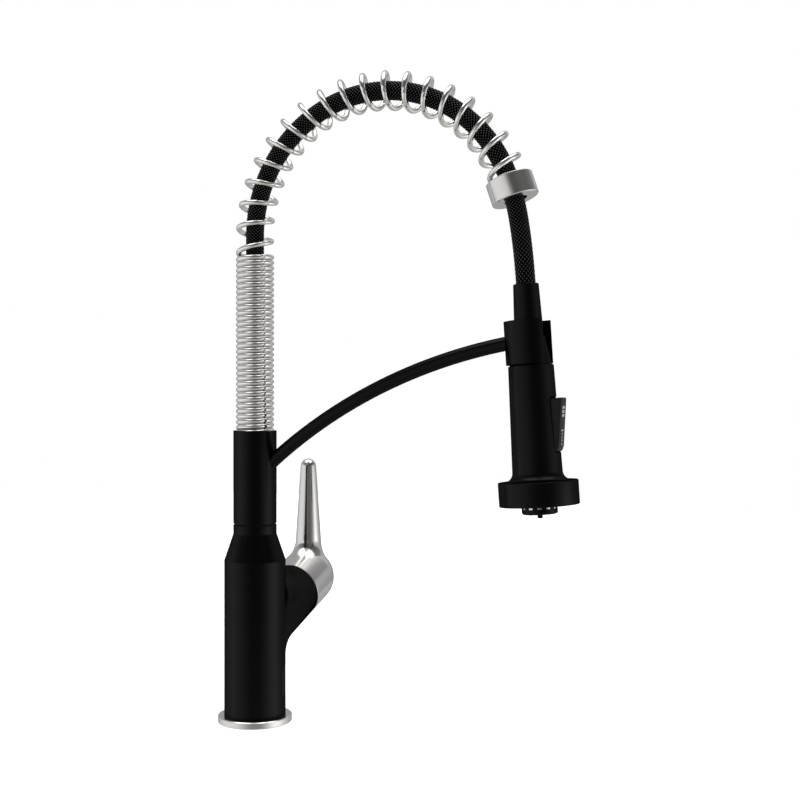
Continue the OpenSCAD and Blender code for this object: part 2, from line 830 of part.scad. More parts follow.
base_ring();
base_gasket();
body_shell();
handle_hub();
sensor_window();
valve_block();
cartridge_body();
fixed_disc();
cartridge_nut();
hose_ferrule();
swivel_stem();
thrust_washer();
lower_bushing();
upper_bushing();
swivel_o_rings();
stem_circlip();
turning_disc();
handle_lever();
cartridge_stem();
handle_set_screw();
index_plug();
swivel_sleeve();
sleeve_set_screw();
spring_anchor();
support_spring();
spring_collar();
collar_grommet();
spray_hose();
support_arm();
holder_clip();
clip_screw();
hose_nut();
hose_coupling();
hose_washer();
head_shell();
waterway_tube();
check_valve();
distributor();
jet_plate();
nozzle_housing();
nozzle_ring();
aerator_insert();
centre_pin();
rocker_pin();
rocker_button();
diverter_spool();
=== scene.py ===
import json
import math

import bmesh
import bpy
from mathutils import Matrix, Vector


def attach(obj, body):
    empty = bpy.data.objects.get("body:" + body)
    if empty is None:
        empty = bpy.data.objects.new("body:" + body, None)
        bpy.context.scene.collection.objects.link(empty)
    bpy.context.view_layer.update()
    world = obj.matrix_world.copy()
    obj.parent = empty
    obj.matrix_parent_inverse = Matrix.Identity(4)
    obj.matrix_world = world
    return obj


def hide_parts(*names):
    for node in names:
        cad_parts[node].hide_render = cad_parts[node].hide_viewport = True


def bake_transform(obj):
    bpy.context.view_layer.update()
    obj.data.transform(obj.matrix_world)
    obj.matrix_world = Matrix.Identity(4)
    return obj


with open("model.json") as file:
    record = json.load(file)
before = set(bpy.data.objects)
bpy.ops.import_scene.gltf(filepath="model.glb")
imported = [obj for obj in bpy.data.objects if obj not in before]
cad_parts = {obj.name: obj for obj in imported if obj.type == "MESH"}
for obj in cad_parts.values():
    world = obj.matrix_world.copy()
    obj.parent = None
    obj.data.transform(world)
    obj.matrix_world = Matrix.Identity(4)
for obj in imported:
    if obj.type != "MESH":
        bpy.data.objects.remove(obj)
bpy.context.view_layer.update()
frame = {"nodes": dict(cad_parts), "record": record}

NODES = frame["nodes"]

# ---------------------------------------------------------------- sizes, in millimetres
MM = 0.001

# Body: a cylinder, a cone and a neck, hollow inside, standing on a spigot in the ring
BODY_R = 23.0
NECK_R = 16.25
RING_TOP = 5.1
TAPER_Z = (121.0, 141.0)
BODY_TOP = 147.8
CAVITY_R = 20.0
CAVITY_Z = (22.0, 116.0)
SOCKET_R = 14.0
SPIGOT_R = 19.5
STEM_BORE_R = 11.0

# Recess for the oval window low on the body: its half width and half height, and its turn in degrees
WINDOW_Z = 30.0
WINDOW_TURN = 18.0
WINDOW_HALF = (10.3, 12.3)
WINDOW_DEPTH = 1.3

# Hub on the body's far side: its axis rises HUB_TILT degrees, and lengths run along it from the body's axis
HUB_Z = 68.3
HUB_TILT = 18.0
HUB_R = 22.5
HUB_BORE_R = 17.6
HUB_LEN = 65.4
HUB_FILLET = 14.0
HUB_TAPER = 0.35
HUB_CHAMFER = 0.5

# Handle: a cap with a round end along the hub's axis, and an upright lever
CAP_START = 65.9
CAP_END = 91.6
CAP_CHAMFER = 0.4
CAP_CAVITY_R = 19.5
CAP_CAVITY_END = 82.0
BOSS_R = 8.0
BOSS_SINK = 3.0
STEM_R = 4.05
STEM_END = 79.0
KEY_R = 2.55
KEY_AT = 75.0
KEY_LEN = 30.0
LEVER_Y = 90.7
LEVER_TIP_Z = 193.3
LEVER_TIP_R = 6.35
LEVER_ROOT_R = 10.3
LEVER_ROOT_Z = 128.0
LEVER_SPREAD = 12.5
# Heights between which the lever's wall meets the cap
LEVER_MEETS_Z = (100.0, 140.0)

# Arch: upright to RISE_Z, a quarter turn, then a wider turn that ends FAR_END degrees from straight down
RISE_Z = 365.0
NEAR_R = 100.0
FAR_R = 105.5
FAR_END = 19.7
FAR_Z = RISE_Z + NEAR_R - FAR_R
NEAR_LEN = NEAR_R * math.pi / 2
FAR_LEN = FAR_R * math.radians(90 - FAR_END)
ARCH_END = RISE_Z + NEAR_LEN + FAR_LEN
TAIL_PULL = 26.0
TAIL_LEN = 75.0

# Support spring: close-wound up to OPEN_S along the arch, and open from there to just before its end
COIL_R = 12.35
WIRE_R = 2.0
OPEN_S = 350.85
CLOSE_PITCH = 4.075
FIRST_PITCH = 18.05
OPEN_PITCH = 15.95
CLOSE_TURNS = 33
WIRE_SHORT = 2.3

# Hose: braided where it shows, from HOSE_SHOWN on, with its seam inside the collar
HOSE_R = 6.98
HOSE_START = 112.0
HOSE_SHOWN = 214.0
HOSE_SEAM = ARCH_END + 3
HOSE_STEP = 0.34
HIDDEN_STEP = 2.0
BRAID_DEPTH = 0.8
BRAID_STEP = 2.6
BRAID_COUNT = 16

COLLAR_TILT = 18.6

# Spray head: heights run up its own axis from the nozzle's rim, and X points to the rocker's side
HEAD_AT = (221.3, 0.0, 169.2)
HEAD_TILT = 3.65
NECK_TOP_H = 152.6
HOSE_SEAT = 12.8
BELL_R = 27.65
BELL_H = 16.8
BELL_FILLET = 6.2
BELL_WALL = 2.45
BELL_CAVITY_H = 10.6
GRIP_R = (17.3, 15.7)
GRIP_TOP_H = 96.2
CONE_R = (14.6, 11.0)
CONE_TOP_H = 116.0
HEAD_BORE_R = 8.0

# Rocker, its pocket and its pivot pin: ROCKER_FRONT is the front face's X low down and high up
POCKET_X = 9.3
POCKET_HALF_W = 7.6
POCKET_H = (35.6, 74.0)
PIVOT = (11.8, 54.2)
PIVOT_R = 1.3
PIVOT_HALF_LEN = 9.2
ROCKER_HALF_W = 7.2
ROCKER_H = (36.1, 72.9)
ROCKER_FRONT = (18.1, 21.8)
ROCKER_BACK = (9.7, 12.4)
ROCKER_MID = 15.0
ROCKER_LIP = 1.1
ROCKER_CHIN = 3.6
# Rounding of the rocker's long edges: how far in from its side, and how far its outline is drawn in there
ROCKER_EDGE = [(0.0, 0.8), (0.1, 0.42), (0.38, 0.12), (0.8, 0.0)]

# Marks on the rocker: half lengths and half heights, and their places from the rocker's ends
BAR_HALF = (2.9, 0.95)
BAR_PLACES = [6.9 + 2.7 * i for i in range(3)]
DOT_HALF = (0.85, 0.8499)
DOT_PLACES = [5.2 + 2.3 * i for i in range(4)]
LINE_HALF = (2.4, 0.65)
LINE_PLACE = 14.4
MARK_RISE = 0.12
MARK_SINK = 0.3


def about(axis, degrees, at):
    """A frame at a point, turned about one axis."""
    return Matrix.Translation(at) @ Matrix.Rotation(math.radians(degrees), 4, axis)


HUB = about("X", HUB_TILT - 90, (0, 0, HUB_Z))
HEAD = about("Y", -HEAD_TILT, HEAD_AT)


# ---------------------------------------------------------------- camera
CAMERA_AT = (0.4457, -0.8111, 0.2415)
CAMERA_TURN = 22.0
camera_data = bpy.data.cameras.new("camera")
camera_data.lens = 54.8
camera_data.sensor_width = 36
camera = bpy.data.objects.new("camera", camera_data)
camera.location = CAMERA_AT
camera.rotation_euler = (math.radians(90), 0, math.radians(CAMERA_TURN))
bpy.context.scene.collection.objects.link(camera)
bpy.context.scene.camera = camera
bpy.context.scene.view_settings.view_transform = "Standard"


# ---------------------------------------------------------------- mesh helpers
SHARP_ANGLE = 32


def build(name, verts, faces, sharp=SHARP_ANGLE):
    """A mesh object from points in millimetres, with doubled points merged and faces turned outward."""
    mesh = bpy.data.meshes.new(name)
    mesh.from_pydata([Vector(v) * MM for v in verts], [], faces)
    bm = bmesh.new()
    bm.from_mesh(mesh)
    bmesh.ops.remove_doubles(bm, verts=bm.verts, dist=1e-6)
    bmesh.ops.recalc_face_normals(bm, faces=bm.faces)
    bm.to_mesh(mesh)
    bm.free()
    mesh.shade_smooth()
    mesh.set_sharp_from_angle(angle=math.radians(sharp))
    obj = bpy.data.objects.new(name, mesh)
    bpy.context.scene.collection.objects.link(obj)
    return obj


def skin(rings, closed=False):
    """Points and faces over rings of equal count. Ends are capped, or joined to each other if closed."""
    n = len(rings[0])
    verts = [p for ring in rings for p in ring]
    pairs = [(i, i + 1) for i in range(len(rings) - 1)]
    if closed:
        pairs.append((len(rings) - 1, 0))
    faces = []
    for a, b in pairs:
        for k in range(n):
            k2 = (k + 1) % n
            faces.append((a * n + k, a * n + k2, b * n + k2, b * n + k))
    if not closed:
        faces.append(tuple(range(n)))
        faces.append(tuple(range(len(verts) - n, len(verts))))
    return verts, faces


def revolve(profile, place=None, sides=128, closed=True):
    """Points and faces of a profile of (radius, height) turned about the local Z of a frame."""
    place = place or Matrix.Identity(4)
    turns = [2 * math.pi * k / sides for k in range(sides)]
    rings = [[place @ Vector((r * math.cos(t), r * math.sin(t), h)) for t in turns] for r, h in profile]
    return skin(rings, closed)


def rounded(points, radius, steps=5):
    """A closed profile with its corners rounded. Each point is (x, y) or (x, y, its own radius)."""
    out = []
    count = len(points)
    for i, point in enumerate(points):
        here = Vector(point[:2])
        r = point[2] if len(point) > 2 else radius
        back = Vector(points[i - 1][:2]) - here
        ahead = Vector(points[(i + 1) % count][:2]) - here
        if r <= 0 or back.length < 1e-6 or ahead.length < 1e-6:
            out.append(tuple(here))
            continue
        half = back.angle(ahead) / 2
        cut = min(r / math.tan(half), back.length * 0.49, ahead.length * 0.49)
        a = here + back.normalized() * cut
        b = here + ahead.normalized() * cut
        for k in range(steps + 1):
            t = k / steps
            out.append(tuple(a * (1 - t) ** 2 + here * 2 * t * (1 - t) + b * t ** 2))
    return out


def combine(obj, others, operation):
    """Joins other solids to obj, or cuts them from it, and removes them."""
    for other in others:
        modifier = obj.modifiers.new("combine", "BOOLEAN")
        modifier.operation = operation
        modifier.solver = "EXACT"
        modifier.object = other
    graph = bpy.context.evaluated_depsgraph_get()
    mesh = bpy.data.meshes.new_from_object(obj.evaluated_get(graph))
    obj.modifiers.clear()
    obj.data = mesh
    for other in others:
        bpy.data.objects.remove(other)
    mesh.shade_smooth()
    mesh.set_sharp_from_angle(angle=math.radians(SHARP_ANGLE))
    return obj


def solid(name, profile, place=None, sides=128):
    return build(name, *revolve(profile, place, sides))


def cylinder(name, r, low, high, place=None, sides=96):
    return build(name, *revolve([(r, low), (r, high)], place, sides, closed=False))


def long_oval(half_length, half_width, steps=8):
    """An outline of two half circles joined by straight sides."""
    ring = []
    for side in (1, -1):
        for k in range(steps + 1):
            t = math.pi * k / steps - math.pi / 2
            along = half_length - half_width + half_width * math.cos(t)
            ring.append((side * along, side * half_width * math.sin(t)))
    return ring


def flare(edge_points, away, down, surface, rise, spread, steps=12):
    """Rings of a concave fillet between a stem's wall and the surface that it stands on.

    edge_points: where the wall meets the surface. away: the direction out along the surface at each.
    down: the wall's direction into the surface. surface: puts a point onto the surface.
    rise and spread: how far the fillet reaches up the wall and out along the surface."""
    rings = [[] for _ in range(steps + 1)]
    for corner, out in zip(edge_points, away):
        top = corner - down * rise
        foot = surface(corner + out * spread)
        for i in range(steps + 1):
            t = i / steps
            rings[i].append(top * (1 - t) ** 2 + corner * 2 * t * (1 - t) + foot * t ** 2)
    return rings


# ---------------------------------------------------------------- centreline of the arch
def turn_at(s):
    """Angle around the arch's centre at a distance along it."""
    if s <= RISE_Z:
        return math.pi
    if s <= RISE_Z + NEAR_LEN:
        return math.pi - (s - RISE_Z) / NEAR_R
    return math.pi / 2 - (s - RISE_Z - NEAR_LEN) / FAR_R


def arch_point(s):
    """Point of the arch at a distance along it, counted from the deck."""
    turn = turn_at(s)
    if s <= RISE_Z:
        return Vector((0, 0, s))
    if s <= RISE_Z + NEAR_LEN:
        return Vector((NEAR_R * (1 + math.cos(turn)), 0, RISE_Z + NEAR_R * math.sin(turn)))
    return Vector((NEAR_R + FAR_R * math.cos(turn), 0, FAR_Z + FAR_R * math.sin(turn)))


NECK_TOP = HEAD @ Vector((0, 0, NECK_TOP_H))
HOSE_END = HEAD @ Vector((0, 0, NECK_TOP_H - HOSE_SEAT))
TAIL_START = arch_point(ARCH_END)
TAIL_WAY = Vector((math.sin(math.radians(FAR_END)), 0, -math.cos(math.radians(FAR_END))))
TAIL_MID = TAIL_START + TAIL_PULL * TAIL_WAY
HOSE_TOTAL = ARCH_END + TAIL_LEN + HOSE_SEAT


def hose_point(s):
    """Point of the hose's centreline: the arch, then its tail down to the spray head's neck."""
    if s <= ARCH_END:
        return arch_point(s)
    if s <= ARCH_END + TAIL_LEN:
        t = (s - ARCH_END) / TAIL_LEN
        return TAIL_START * (1 - t) ** 2 + TAIL_MID * 2 * t * (1 - t) + NECK_TOP * t ** 2
    return NECK_TOP.lerp(HOSE_END, (s - ARCH_END - TAIL_LEN) / HOSE_SEAT)


def hose_frame(s):
    """Centre, outward direction and sideways direction of the hose at a distance along it."""
    step = 0.5
    way = (hose_point(min(s + step, HOSE_TOTAL)) - hose_point(s - step)).normalized()
    side = Vector((0, -1, 0))
    return hose_point(s), way.cross(side).normalized() * -1, side


# ---------------------------------------------------------------- materials
# How far round from facing the eye the coating's gloss reaches, and how fast it fades there
MATTE_REACH = 1.45
MATTE_FADE = 4.0
# How narrow the shining crowns of the braid's strands are, and so how wide the painted shade in the grooves
# between them is
CROWN_SHARPNESS = 6.0


def soften_edges(nodes, links, level):
    """A powder coating's gloss fades towards grazing angles, because its grains shade each other."""
    weight = nodes.new("ShaderNodeLayerWeight")
    weight.inputs["Blend"].default_value = 0.5
    toward = nodes.new("ShaderNodeMath")
    toward.operation = "MULTIPLY_ADD"
    toward.inputs[1].default_value = -MATTE_REACH
    toward.inputs[2].default_value = MATTE_REACH
    links.new(weight.outputs["Facing"], toward.inputs[0])
    fade = nodes.new("ShaderNodeMath")
    fade.operation = "POWER"
    fade.use_clamp = True
    fade.inputs[1].default_value = MATTE_FADE
    links.new(toward.outputs["Value"], fade.inputs[0])
    gloss = nodes.new("ShaderNodeMath")
    gloss.operation = "MULTIPLY"
    gloss.inputs[1].default_value = level.default_value
    links.new(fade.outputs["Value"], gloss.inputs[0])
    links.new(gloss.outputs["Value"], level)


def material(
    name, color, rough, metallic=0.0, specular=0.5, grain=900.0, stretch=(1, 1, 1), turn=(0, 0, 0),
    bump=0.1, depth=0.00002, rough_spread=0.08, tone_spread=0.12, cloud=60.0, ior=1.5, matte=False,
):
    """A procedural finish: fine grain for bump and roughness, and slow clouds for tone."""
    mat = bpy.data.materials.new(name)
    mat.use_nodes = True
    nodes = mat.node_tree.nodes
    links = mat.node_tree.links
    shader = nodes["Principled BSDF"]
    shader.inputs["Metallic"].default_value = metallic
    shader.inputs["Specular IOR Level"].default_value = specular
    shader.inputs["IOR"].default_value = ior
    if matte:
        soften_edges(nodes, links, shader.inputs["Specular IOR Level"])
    place = nodes.new("ShaderNodeTexCoord")
    turned = nodes.new("ShaderNodeMapping")
    turned.vector_type = "TEXTURE"
    turned.inputs["Rotation"].default_value = turn
    turned.inputs["Scale"].default_value = [1 / s for s in stretch]
    links.new(place.outputs["Object"], turned.inputs["Vector"])
    fine = nodes.new("ShaderNodeTexNoise")
    fine.inputs["Scale"].default_value = grain
    fine.inputs["Detail"].default_value = 3
    links.new(turned.outputs["Vector"], fine.inputs["Vector"])
    slow = nodes.new("ShaderNodeTexNoise")
    slow.inputs["Scale"].default_value = cloud
    slow.inputs["Detail"].default_value = 2
    links.new(place.outputs["Object"], slow.inputs["Vector"])

    rough_map = nodes.new("ShaderNodeMapRange")
    rough_map.inputs["From Min"].default_value = 0.3
    rough_map.inputs["From Max"].default_value = 0.7
    rough_map.inputs["To Min"].default_value = max(0.02, rough - rough_spread)
    rough_map.inputs["To Max"].default_value = min(1.0, rough + rough_spread)
    links.new(fine.outputs["Fac"], rough_map.inputs["Value"])
    links.new(rough_map.outputs["Result"], shader.inputs["Roughness"])

    tone = nodes.new("ShaderNodeMix")
    tone.data_type = "RGBA"
    tone.inputs["A"].default_value = [c * (1 - tone_spread) for c in color] + [1]
    tone.inputs["B"].default_value = [min(1, c * (1 + tone_spread)) for c in color] + [1]
    both = nodes.new("ShaderNodeMath")
    both.operation = "MULTIPLY_ADD"
    both.inputs[1].default_value = 0.5
    links.new(fine.outputs["Fac"], both.inputs[0])
    half = nodes.new("ShaderNodeMath")
    half.operation = "MULTIPLY"
    half.inputs[1].default_value = 0.5
    links.new(slow.outputs["Fac"], half.inputs[0])
    links.new(half.outputs["Value"], both.inputs[2])
    links.new(both.outputs["Value"], tone.inputs["Factor"])
    links.new(tone.outputs["Result"], shader.inputs["Base Color"])

    raised = nodes.new("ShaderNodeBump")
    raised.inputs["Strength"].default_value = bump
    raised.inputs["Distance"].default_value = depth
    links.new(fine.outputs["Fac"], raised.inputs["Height"])
    links.new(raised.outputs["Normal"], shader.inputs["Normal"])
    return mat


def crown_gloss_painted_groove_shade(mat):
    """Only the crowns of the braid's strands shine: the gloss follows the height stored with the hose. The
    grooves between the strands get no gloss at all, which is painted shade standing in for the shade that
    falls between the strands.
    """
    nodes = mat.node_tree.nodes
    links = mat.node_tree.links
    level = nodes["Principled BSDF"].inputs["Specular IOR Level"]
    height = nodes.new("ShaderNodeAttribute")
    height.attribute_name = "braid"
    crown = nodes.new("ShaderNodeMath")
    crown.operation = "POWER"
    crown.inputs[1].default_value = CROWN_SHARPNESS
    links.new(height.outputs["Fac"], crown.inputs[0])
    links.new(crown.outputs["Value"], level)


STEEL = (0.76, 0.75, 0.73)
BRIGHT_STEEL = (0.9, 0.89, 0.87)
BLACK = (0.0009, 0.0009, 0.0008)
COATING_IOR = 1.2
COLLAR_TURN = (0, -math.radians(COLLAR_TILT), 0)

FINISH = {
    "black_body": material(
        "black_body", BLACK, 0.3, specular=0.72, grain=2600, bump=0.08, tone_spread=0.2, ior=COATING_IOR,
        matte=True,
    ),
    "head_plastic": material(
        "head_plastic", BLACK, 0.32, specular=0.72, grain=3200, bump=0.1, tone_spread=0.2, ior=COATING_IOR,
        matte=True,
    ),
    "rocker_plastic": material(
        "rocker_plastic", (0.015, 0.0153, 0.0147), 0.5, specular=0.22, grain=2600, bump=0.1,
    ),
    "window_gloss": material(
        "window_gloss", (0.002, 0.002, 0.002), 0.14, specular=1.0, grain=500, bump=0.02, ior=1.25, matte=True,
    ),
    "brushed_steel": material(
        "brushed_steel", STEEL, 0.2, 1.0, grain=4200, stretch=(0.03, 0.03, 1), bump=0.03, tone_spread=0.03,
        rough_spread=0.04,
    ),
    "spring_wire": material(
        "spring_wire", BRIGHT_STEEL, 0.07, 1.0, grain=1500, bump=0.02, tone_spread=0.04, rough_spread=0.03,
    ),
    "black_hose": material(
        "black_hose", (0.0006, 0.0006, 0.0005), 0.24, specular=1.0, grain=5200, bump=0.1, ior=2.0,
    ),
    "brass": material("brass", (0.6, 0.44, 0.2), 0.28, 1.0, grain=2600, stretch=(0.1, 0.1, 1)),
    "rubber": material("rubber", (0.006, 0.006, 0.006), 0.6, specular=0.2, grain=2600, bump=0.2),
    "white_nylon": material("white_nylon", (0.66, 0.65, 0.61), 0.42, grain=1800, tone_spread=0.04),
    "ceramic": material("ceramic", (0.72, 0.72, 0.7), 0.2, grain=1500, bump=0.03, tone_spread=0.03),
    "screw_steel": material("screw_steel", (0.45, 0.45, 0.45), 0.3, 1.0, grain=2600),
}
COLLAR_STEEL = material(
    "collar_steel", STEEL, 0.2, 1.0, grain=4200, stretch=(0.03, 0.03, 1), turn=COLLAR_TURN, bump=0.03,
    tone_spread=0.03, rough_spread=0.04,
)
LEVER_STEEL = material(
    "lever_steel", STEEL, 0.17, 1.0, grain=4200, stretch=(1, 1, 0.03), bump=0.02, tone_spread=0.03,
    rough_spread=0.03,
)
ICON_WHITE = material("icon_white", (0.75, 0.75, 0.75), 0.5, grain=3000, tone_spread=0.04)

# The braid's grooves get no gloss: painted shade between the strands. The crowns' shine comes from the
# studio's light.
crown_gloss_painted_groove_shade(FINISH["black_hose"])

for part in frame["record"]["subparts"]:
    for slot in NODES[part["node"]].material_slots:
        slot.material = FINISH[part["material_slot"]]
for slot in NODES["spring_collar"].material_slots:
    slot.material = COLLAR_STEEL


def dress(obj, mat, slot, body, *nodes):
    """Gives a piece its finish and its body, and hides the CAD nodes that it stands for."""
    obj.data.materials.clear()
    obj.data.materials.append(mat)
    if nodes:
        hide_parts(*nodes)
    if body:
        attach(obj, body)
    return obj


# ---------------------------------------------------------------- body and hub, one casting
def on_body(point):
    """Puts a point onto the body's cylinder, keeping its height."""
    r = math.hypot(point.x, point.y)
    return Vector((point.x * BODY_R / r, point.y * BODY_R / r, point.z))


def hub_rings(sides):
    """Rings of the hub's outside, from its end down to the body and out along it."""
    turns = [2 * math.pi * k / sides for k in range(sides)]
    hub_way = (HUB.to_3x3() @ Vector((0, 0, 1))).normalized()
    root_r = HUB_R + HUB_TAPER
    edge = []
    away = []
    for t in turns:
        radial = HUB.to_3x3() @ Vector((math.cos(t), math.sin(t), 0))
        start = HUB @ Vector((root_r * math.cos(t), root_r * math.sin(t), 0))
        reach = math.sqrt(max(0.0, BODY_R ** 2 - start.x ** 2))
        corner = start + hub_way * ((reach - start.y) / hub_way.y)
        outward = Vector((corner.x, corner.y, 0)).normalized()
        along = radial - outward * radial.dot(outward)
        edge.append(corner)
        away.append(along.normalized())
    fillet = flare(edge, away, hub_way * -1, on_body, HUB_FILLET, HUB_FILLET)
    sink = 0.06
    inner = [[p.lerp(Vector((0, 0, p.z)), sink) for p in fillet[-1]], [Vector((0, 0, HUB_Z))] * sides]
    chamfer = HUB_CHAMFER
    profile = [
        (0.0, HUB_LEN), (HUB_R - chamfer, HUB_LEN), (HUB_R - chamfer * 0.3, HUB_LEN - chamfer * 0.3),
        (HUB_R, HUB_LEN - chamfer),
    ]
    rim = [[HUB @ Vector((r * math.cos(t), r * math.sin(t), h)) for t in turns] for r, h in profile]
    return rim + fillet + inner


def make_body():
    outline = [
        (STEM_BORE_R, CAVITY_Z[1], 0), (CAVITY_R, CAVITY_Z[1], 0), (CAVITY_R, CAVITY_Z[0], 0),
        (SOCKET_R, CAVITY_Z[0], 0), (SOCKET_R, 0, 0.3), (SPIGOT_R, 0, 0.3), (SPIGOT_R, RING_TOP, 0),
        (BODY_R, RING_TOP, 0.3), (BODY_R, TAPER_Z[0], 1.6), (NECK_R, TAPER_Z[1], 1.2),
        (NECK_R, BODY_TOP, 0.35), (STEM_BORE_R, BODY_TOP, 0.2),
    ]
    body = solid("body_casting", rounded(outline, 0.3, steps=8), sides=160)
    hub = build("hub_skin", *skin(hub_rings(160)))
    combine(body, [hub], "UNION")
    cavity = cylinder("cavity", CAVITY_R, CAVITY_Z[0], CAVITY_Z[1])
    bore = cylinder("bore", HUB_BORE_R, 0, HUB_LEN + 1, HUB)
    combine(body, [cavity, bore, window_cutter()], "DIFFERENCE")
    return dress(body, FINISH["black_body"], "black_body", "base", "body_shell", "handle_hub")


def window_cutter():
    """Oval cutter for the window's recess."""
    turn = Matrix.Rotation(math.radians(WINDOW_TURN), 4, "Z") @ Matrix.Rotation(math.pi / 2, 4, "Y")
    place = Matrix.Translation((0, 0, WINDOW_Z)) @ turn
    outline = long_oval(WINDOW_HALF[1], WINDOW_HALF[0], 24)
    depths = (BODY_R - WINDOW_DEPTH, BODY_R + 2)
    return build("window_cutter", *skin([[place @ Vector((x, y, d)) for x, y in outline] for d in depths]))


make_body()


# ---------------------------------------------------------------- handle: cap and lever in one casting
def cap_centre(local):
    """The point of the hub's axis that the cap is round at, for a point in the hub's frame."""
    return Vector((0, 0, min(local.z, CAP_END)))


def on_cap(point):
    """Puts a point onto the cap: a cylinder along the hub's axis with a round end."""
    local = HUB.inverted() @ point
    centre = cap_centre(local)
    return HUB @ (centre + (local - centre).normalized() * HUB_R)


def lever_outline():
    """The lever's (radius, height) from its round tip down to its root."""
    shoulder = LEVER_TIP_Z - LEVER_TIP_R
    taper = (LEVER_ROOT_R - LEVER_TIP_R) / (shoulder - LEVER_ROOT_Z)
    outline = []
    tip_steps = 10
    for i in range(tip_steps):
        a = math.pi / 2 * (1 - i / tip_steps)
        outline.append((LEVER_TIP_R * math.cos(a), LEVER_TIP_Z - LEVER_TIP_R * (1 - math.sin(a))))
    wall_steps = 12
    for i in range(wall_steps):
        z = shoulder + (LEVER_ROOT_Z - shoulder) * i / wall_steps
        outline.append((LEVER_TIP_R + taper * (shoulder - z), z))
    return outline


def lever_foot(outward):
    """Where the lever's wall meets the cap on one side, and the way out along the cap from there."""
    corner = Vector((0, LEVER_Y, 0)) + outward * LEVER_ROOT_R
    low, high = LEVER_MEETS_Z
    for _ in range(30):
        corner.z = (low + high) / 2
        local = HUB.inverted() @ corner
        outside = (local - cap_centre(local)).length > HUB_R
        low, high = (low, corner.z) if outside else (corner.z, high)
    normal = (on_cap(corner) - HUB @ cap_centre(local)).normalized()
    return corner, (outward - normal * outward.dot(normal)).normalized()


def lever_rings(sides=96):
    """Rings of the lever, from its tip down to the cap and out along it."""
    turns = [2 * math.pi * k / sides for k in range(sides)]
    rings = [
        [Vector((r * math.cos(t), LEVER_Y + r * math.sin(t), z)) for t in turns] for r, z in lever_outline()
    ]
    feet = [lever_foot(Vector((math.cos(t), math.sin(t), 0))) for t in turns]
    steps = 14
    for i in range(steps + 1):
        f = i / steps
        ring = []
        for corner, along in feet:
            top = Vector((corner.x, corner.y, LEVER_ROOT_Z))
            foot = on_cap(corner + along * LEVER_SPREAD)
            ring.append(top * (1 - f) ** 2 + corner * 2 * f * (1 - f) + foot * f ** 2)
        rings.append(ring)
    heart = HUB @ Vector((0, 0, CAP_END - 4))
    sink = 0.05
    rings.append([p.lerp(heart, sink) for p in rings[-1]])
    rings.append([heart] * sides)
    return rings


def make_handle():
    outline = [
        (0, CAP_START), (HUB_R - CAP_CHAMFER, CAP_START), (HUB_R, CAP_START + CAP_CHAMFER), (HUB_R, CAP_END),
    ]
    dome_steps = 20
    for k in range(1, dome_steps + 1):
        a = math.pi / 2 * k / dome_steps
        outline.append((HUB_R * math.cos(a), CAP_END + HUB_R * math.sin(a)))
    cap = build("handle_casting", *revolve(outline, HUB, 128, closed=False))
    lever = build("lever_skin", *skin(lever_rings()))
    combine(cap, [lever], "UNION")
    hollow = [
        (BOSS_R, CAP_START + BOSS_SINK), (BOSS_R, CAP_CAVITY_END), (CAP_CAVITY_R, CAP_CAVITY_END),
        (CAP_CAVITY_R, CAP_START - 1), (0, CAP_START - 1), (0, CAP_START + BOSS_SINK),
    ]
    cavity = solid("cap_cavity", hollow, HUB)
    stem = cylinder("stem_bore", STEM_R, CAP_START - 2, STEM_END, HUB)
    key_way = HUB @ Matrix.Translation((0, 0, KEY_AT)) @ Matrix.Rotation(-math.pi / 2, 4, "X")
    key = cylinder("key_bore", KEY_R, 0, KEY_LEN, key_way)
    combine(cap, [cavity, stem, key], "DIFFERENCE")
    return dress(cap, LEVER_STEEL, "brushed_steel", "handle", "handle_lever")


make_handle()


# ---------------------------------------------------------------- spring
def coil_out(s):
    """Direction from the arch's centreline to the wire at a distance along it."""
    first_end = OPEN_S + FIRST_PITCH
    if s < OPEN_S:
        turns = (s - OPEN_S) / CLOSE_PITCH
    elif s < first_end:
        turns = (s - OPEN_S) / FIRST_PITCH
    else:
        turns = 1 + (s - first_end) / OPEN_PITCH
    a = 2 * math.pi * turns
    turn = turn_at(s)
    return math.cos(a) * Vector((math.cos(turn), 0, math.sin(turn))) + math.sin(a) * Vector((0, -1, 0))


def sweep(points, outs, radius, sides):
    """Rings of a round wire along points, each ring across its own direction."""
    last = len(points) - 1
    turns = [2 * math.pi * k / sides for k in range(sides)]
    rings = []
    for i, point in enumerate(points):
        way = (points[min(i + 1, last)] - points[max(i - 1, 0)]).normalized()
        across = (outs[i] - way * outs[i].dot(way)).normalized()
        up = way.cross(across)
        rings.append([point + (across * math.cos(t) + up * math.sin(t)) * radius for t in turns])
    return rings


def make_spring():
    close_steps = 40
    open_steps = 56
    foot = OPEN_S - CLOSE_TURNS * CLOSE_PITCH
    tip = ARCH_END - WIRE_SHORT
    close_count = int(CLOSE_TURNS * close_steps)
    open_count = int((tip - OPEN_S) / OPEN_PITCH * open_steps)
    stations = [foot + (OPEN_S - foot) * i / close_count for i in range(close_count)]
    stations += [OPEN_S + (tip - OPEN_S) * i / open_count for i in range(open_count + 1)]
    outs = [coil_out(s) for s in stations]
    points = [arch_point(s) + out * COIL_R for s, out in zip(stations, outs)]
    spring = build("support_coil", *skin(sweep(points, outs, WIRE_R, 16)), sharp=50)
    return dress(spring, FINISH["spring_wire"], "spring_wire", "spout", "support_spring")


make_spring()


# ---------------------------------------------------------------- braided hose
def braid_height(turn, s):
    """Height of a two-way braid, 0 to 1, at a turn around the hose and a distance along it."""
    p = BRAID_COUNT * turn / (2 * math.pi) + s / BRAID_STEP
    q = BRAID_COUNT * turn / (2 * math.pi) - s / BRAID_STEP
    over = (math.floor(p) + math.floor(q)) % 2 == 0
    across, along = (p % 1, q % 1) if over else (q % 1, p % 1)
    return math.sin(math.pi * across) * (0.25 + 0.75 * math.sin(math.pi * along))


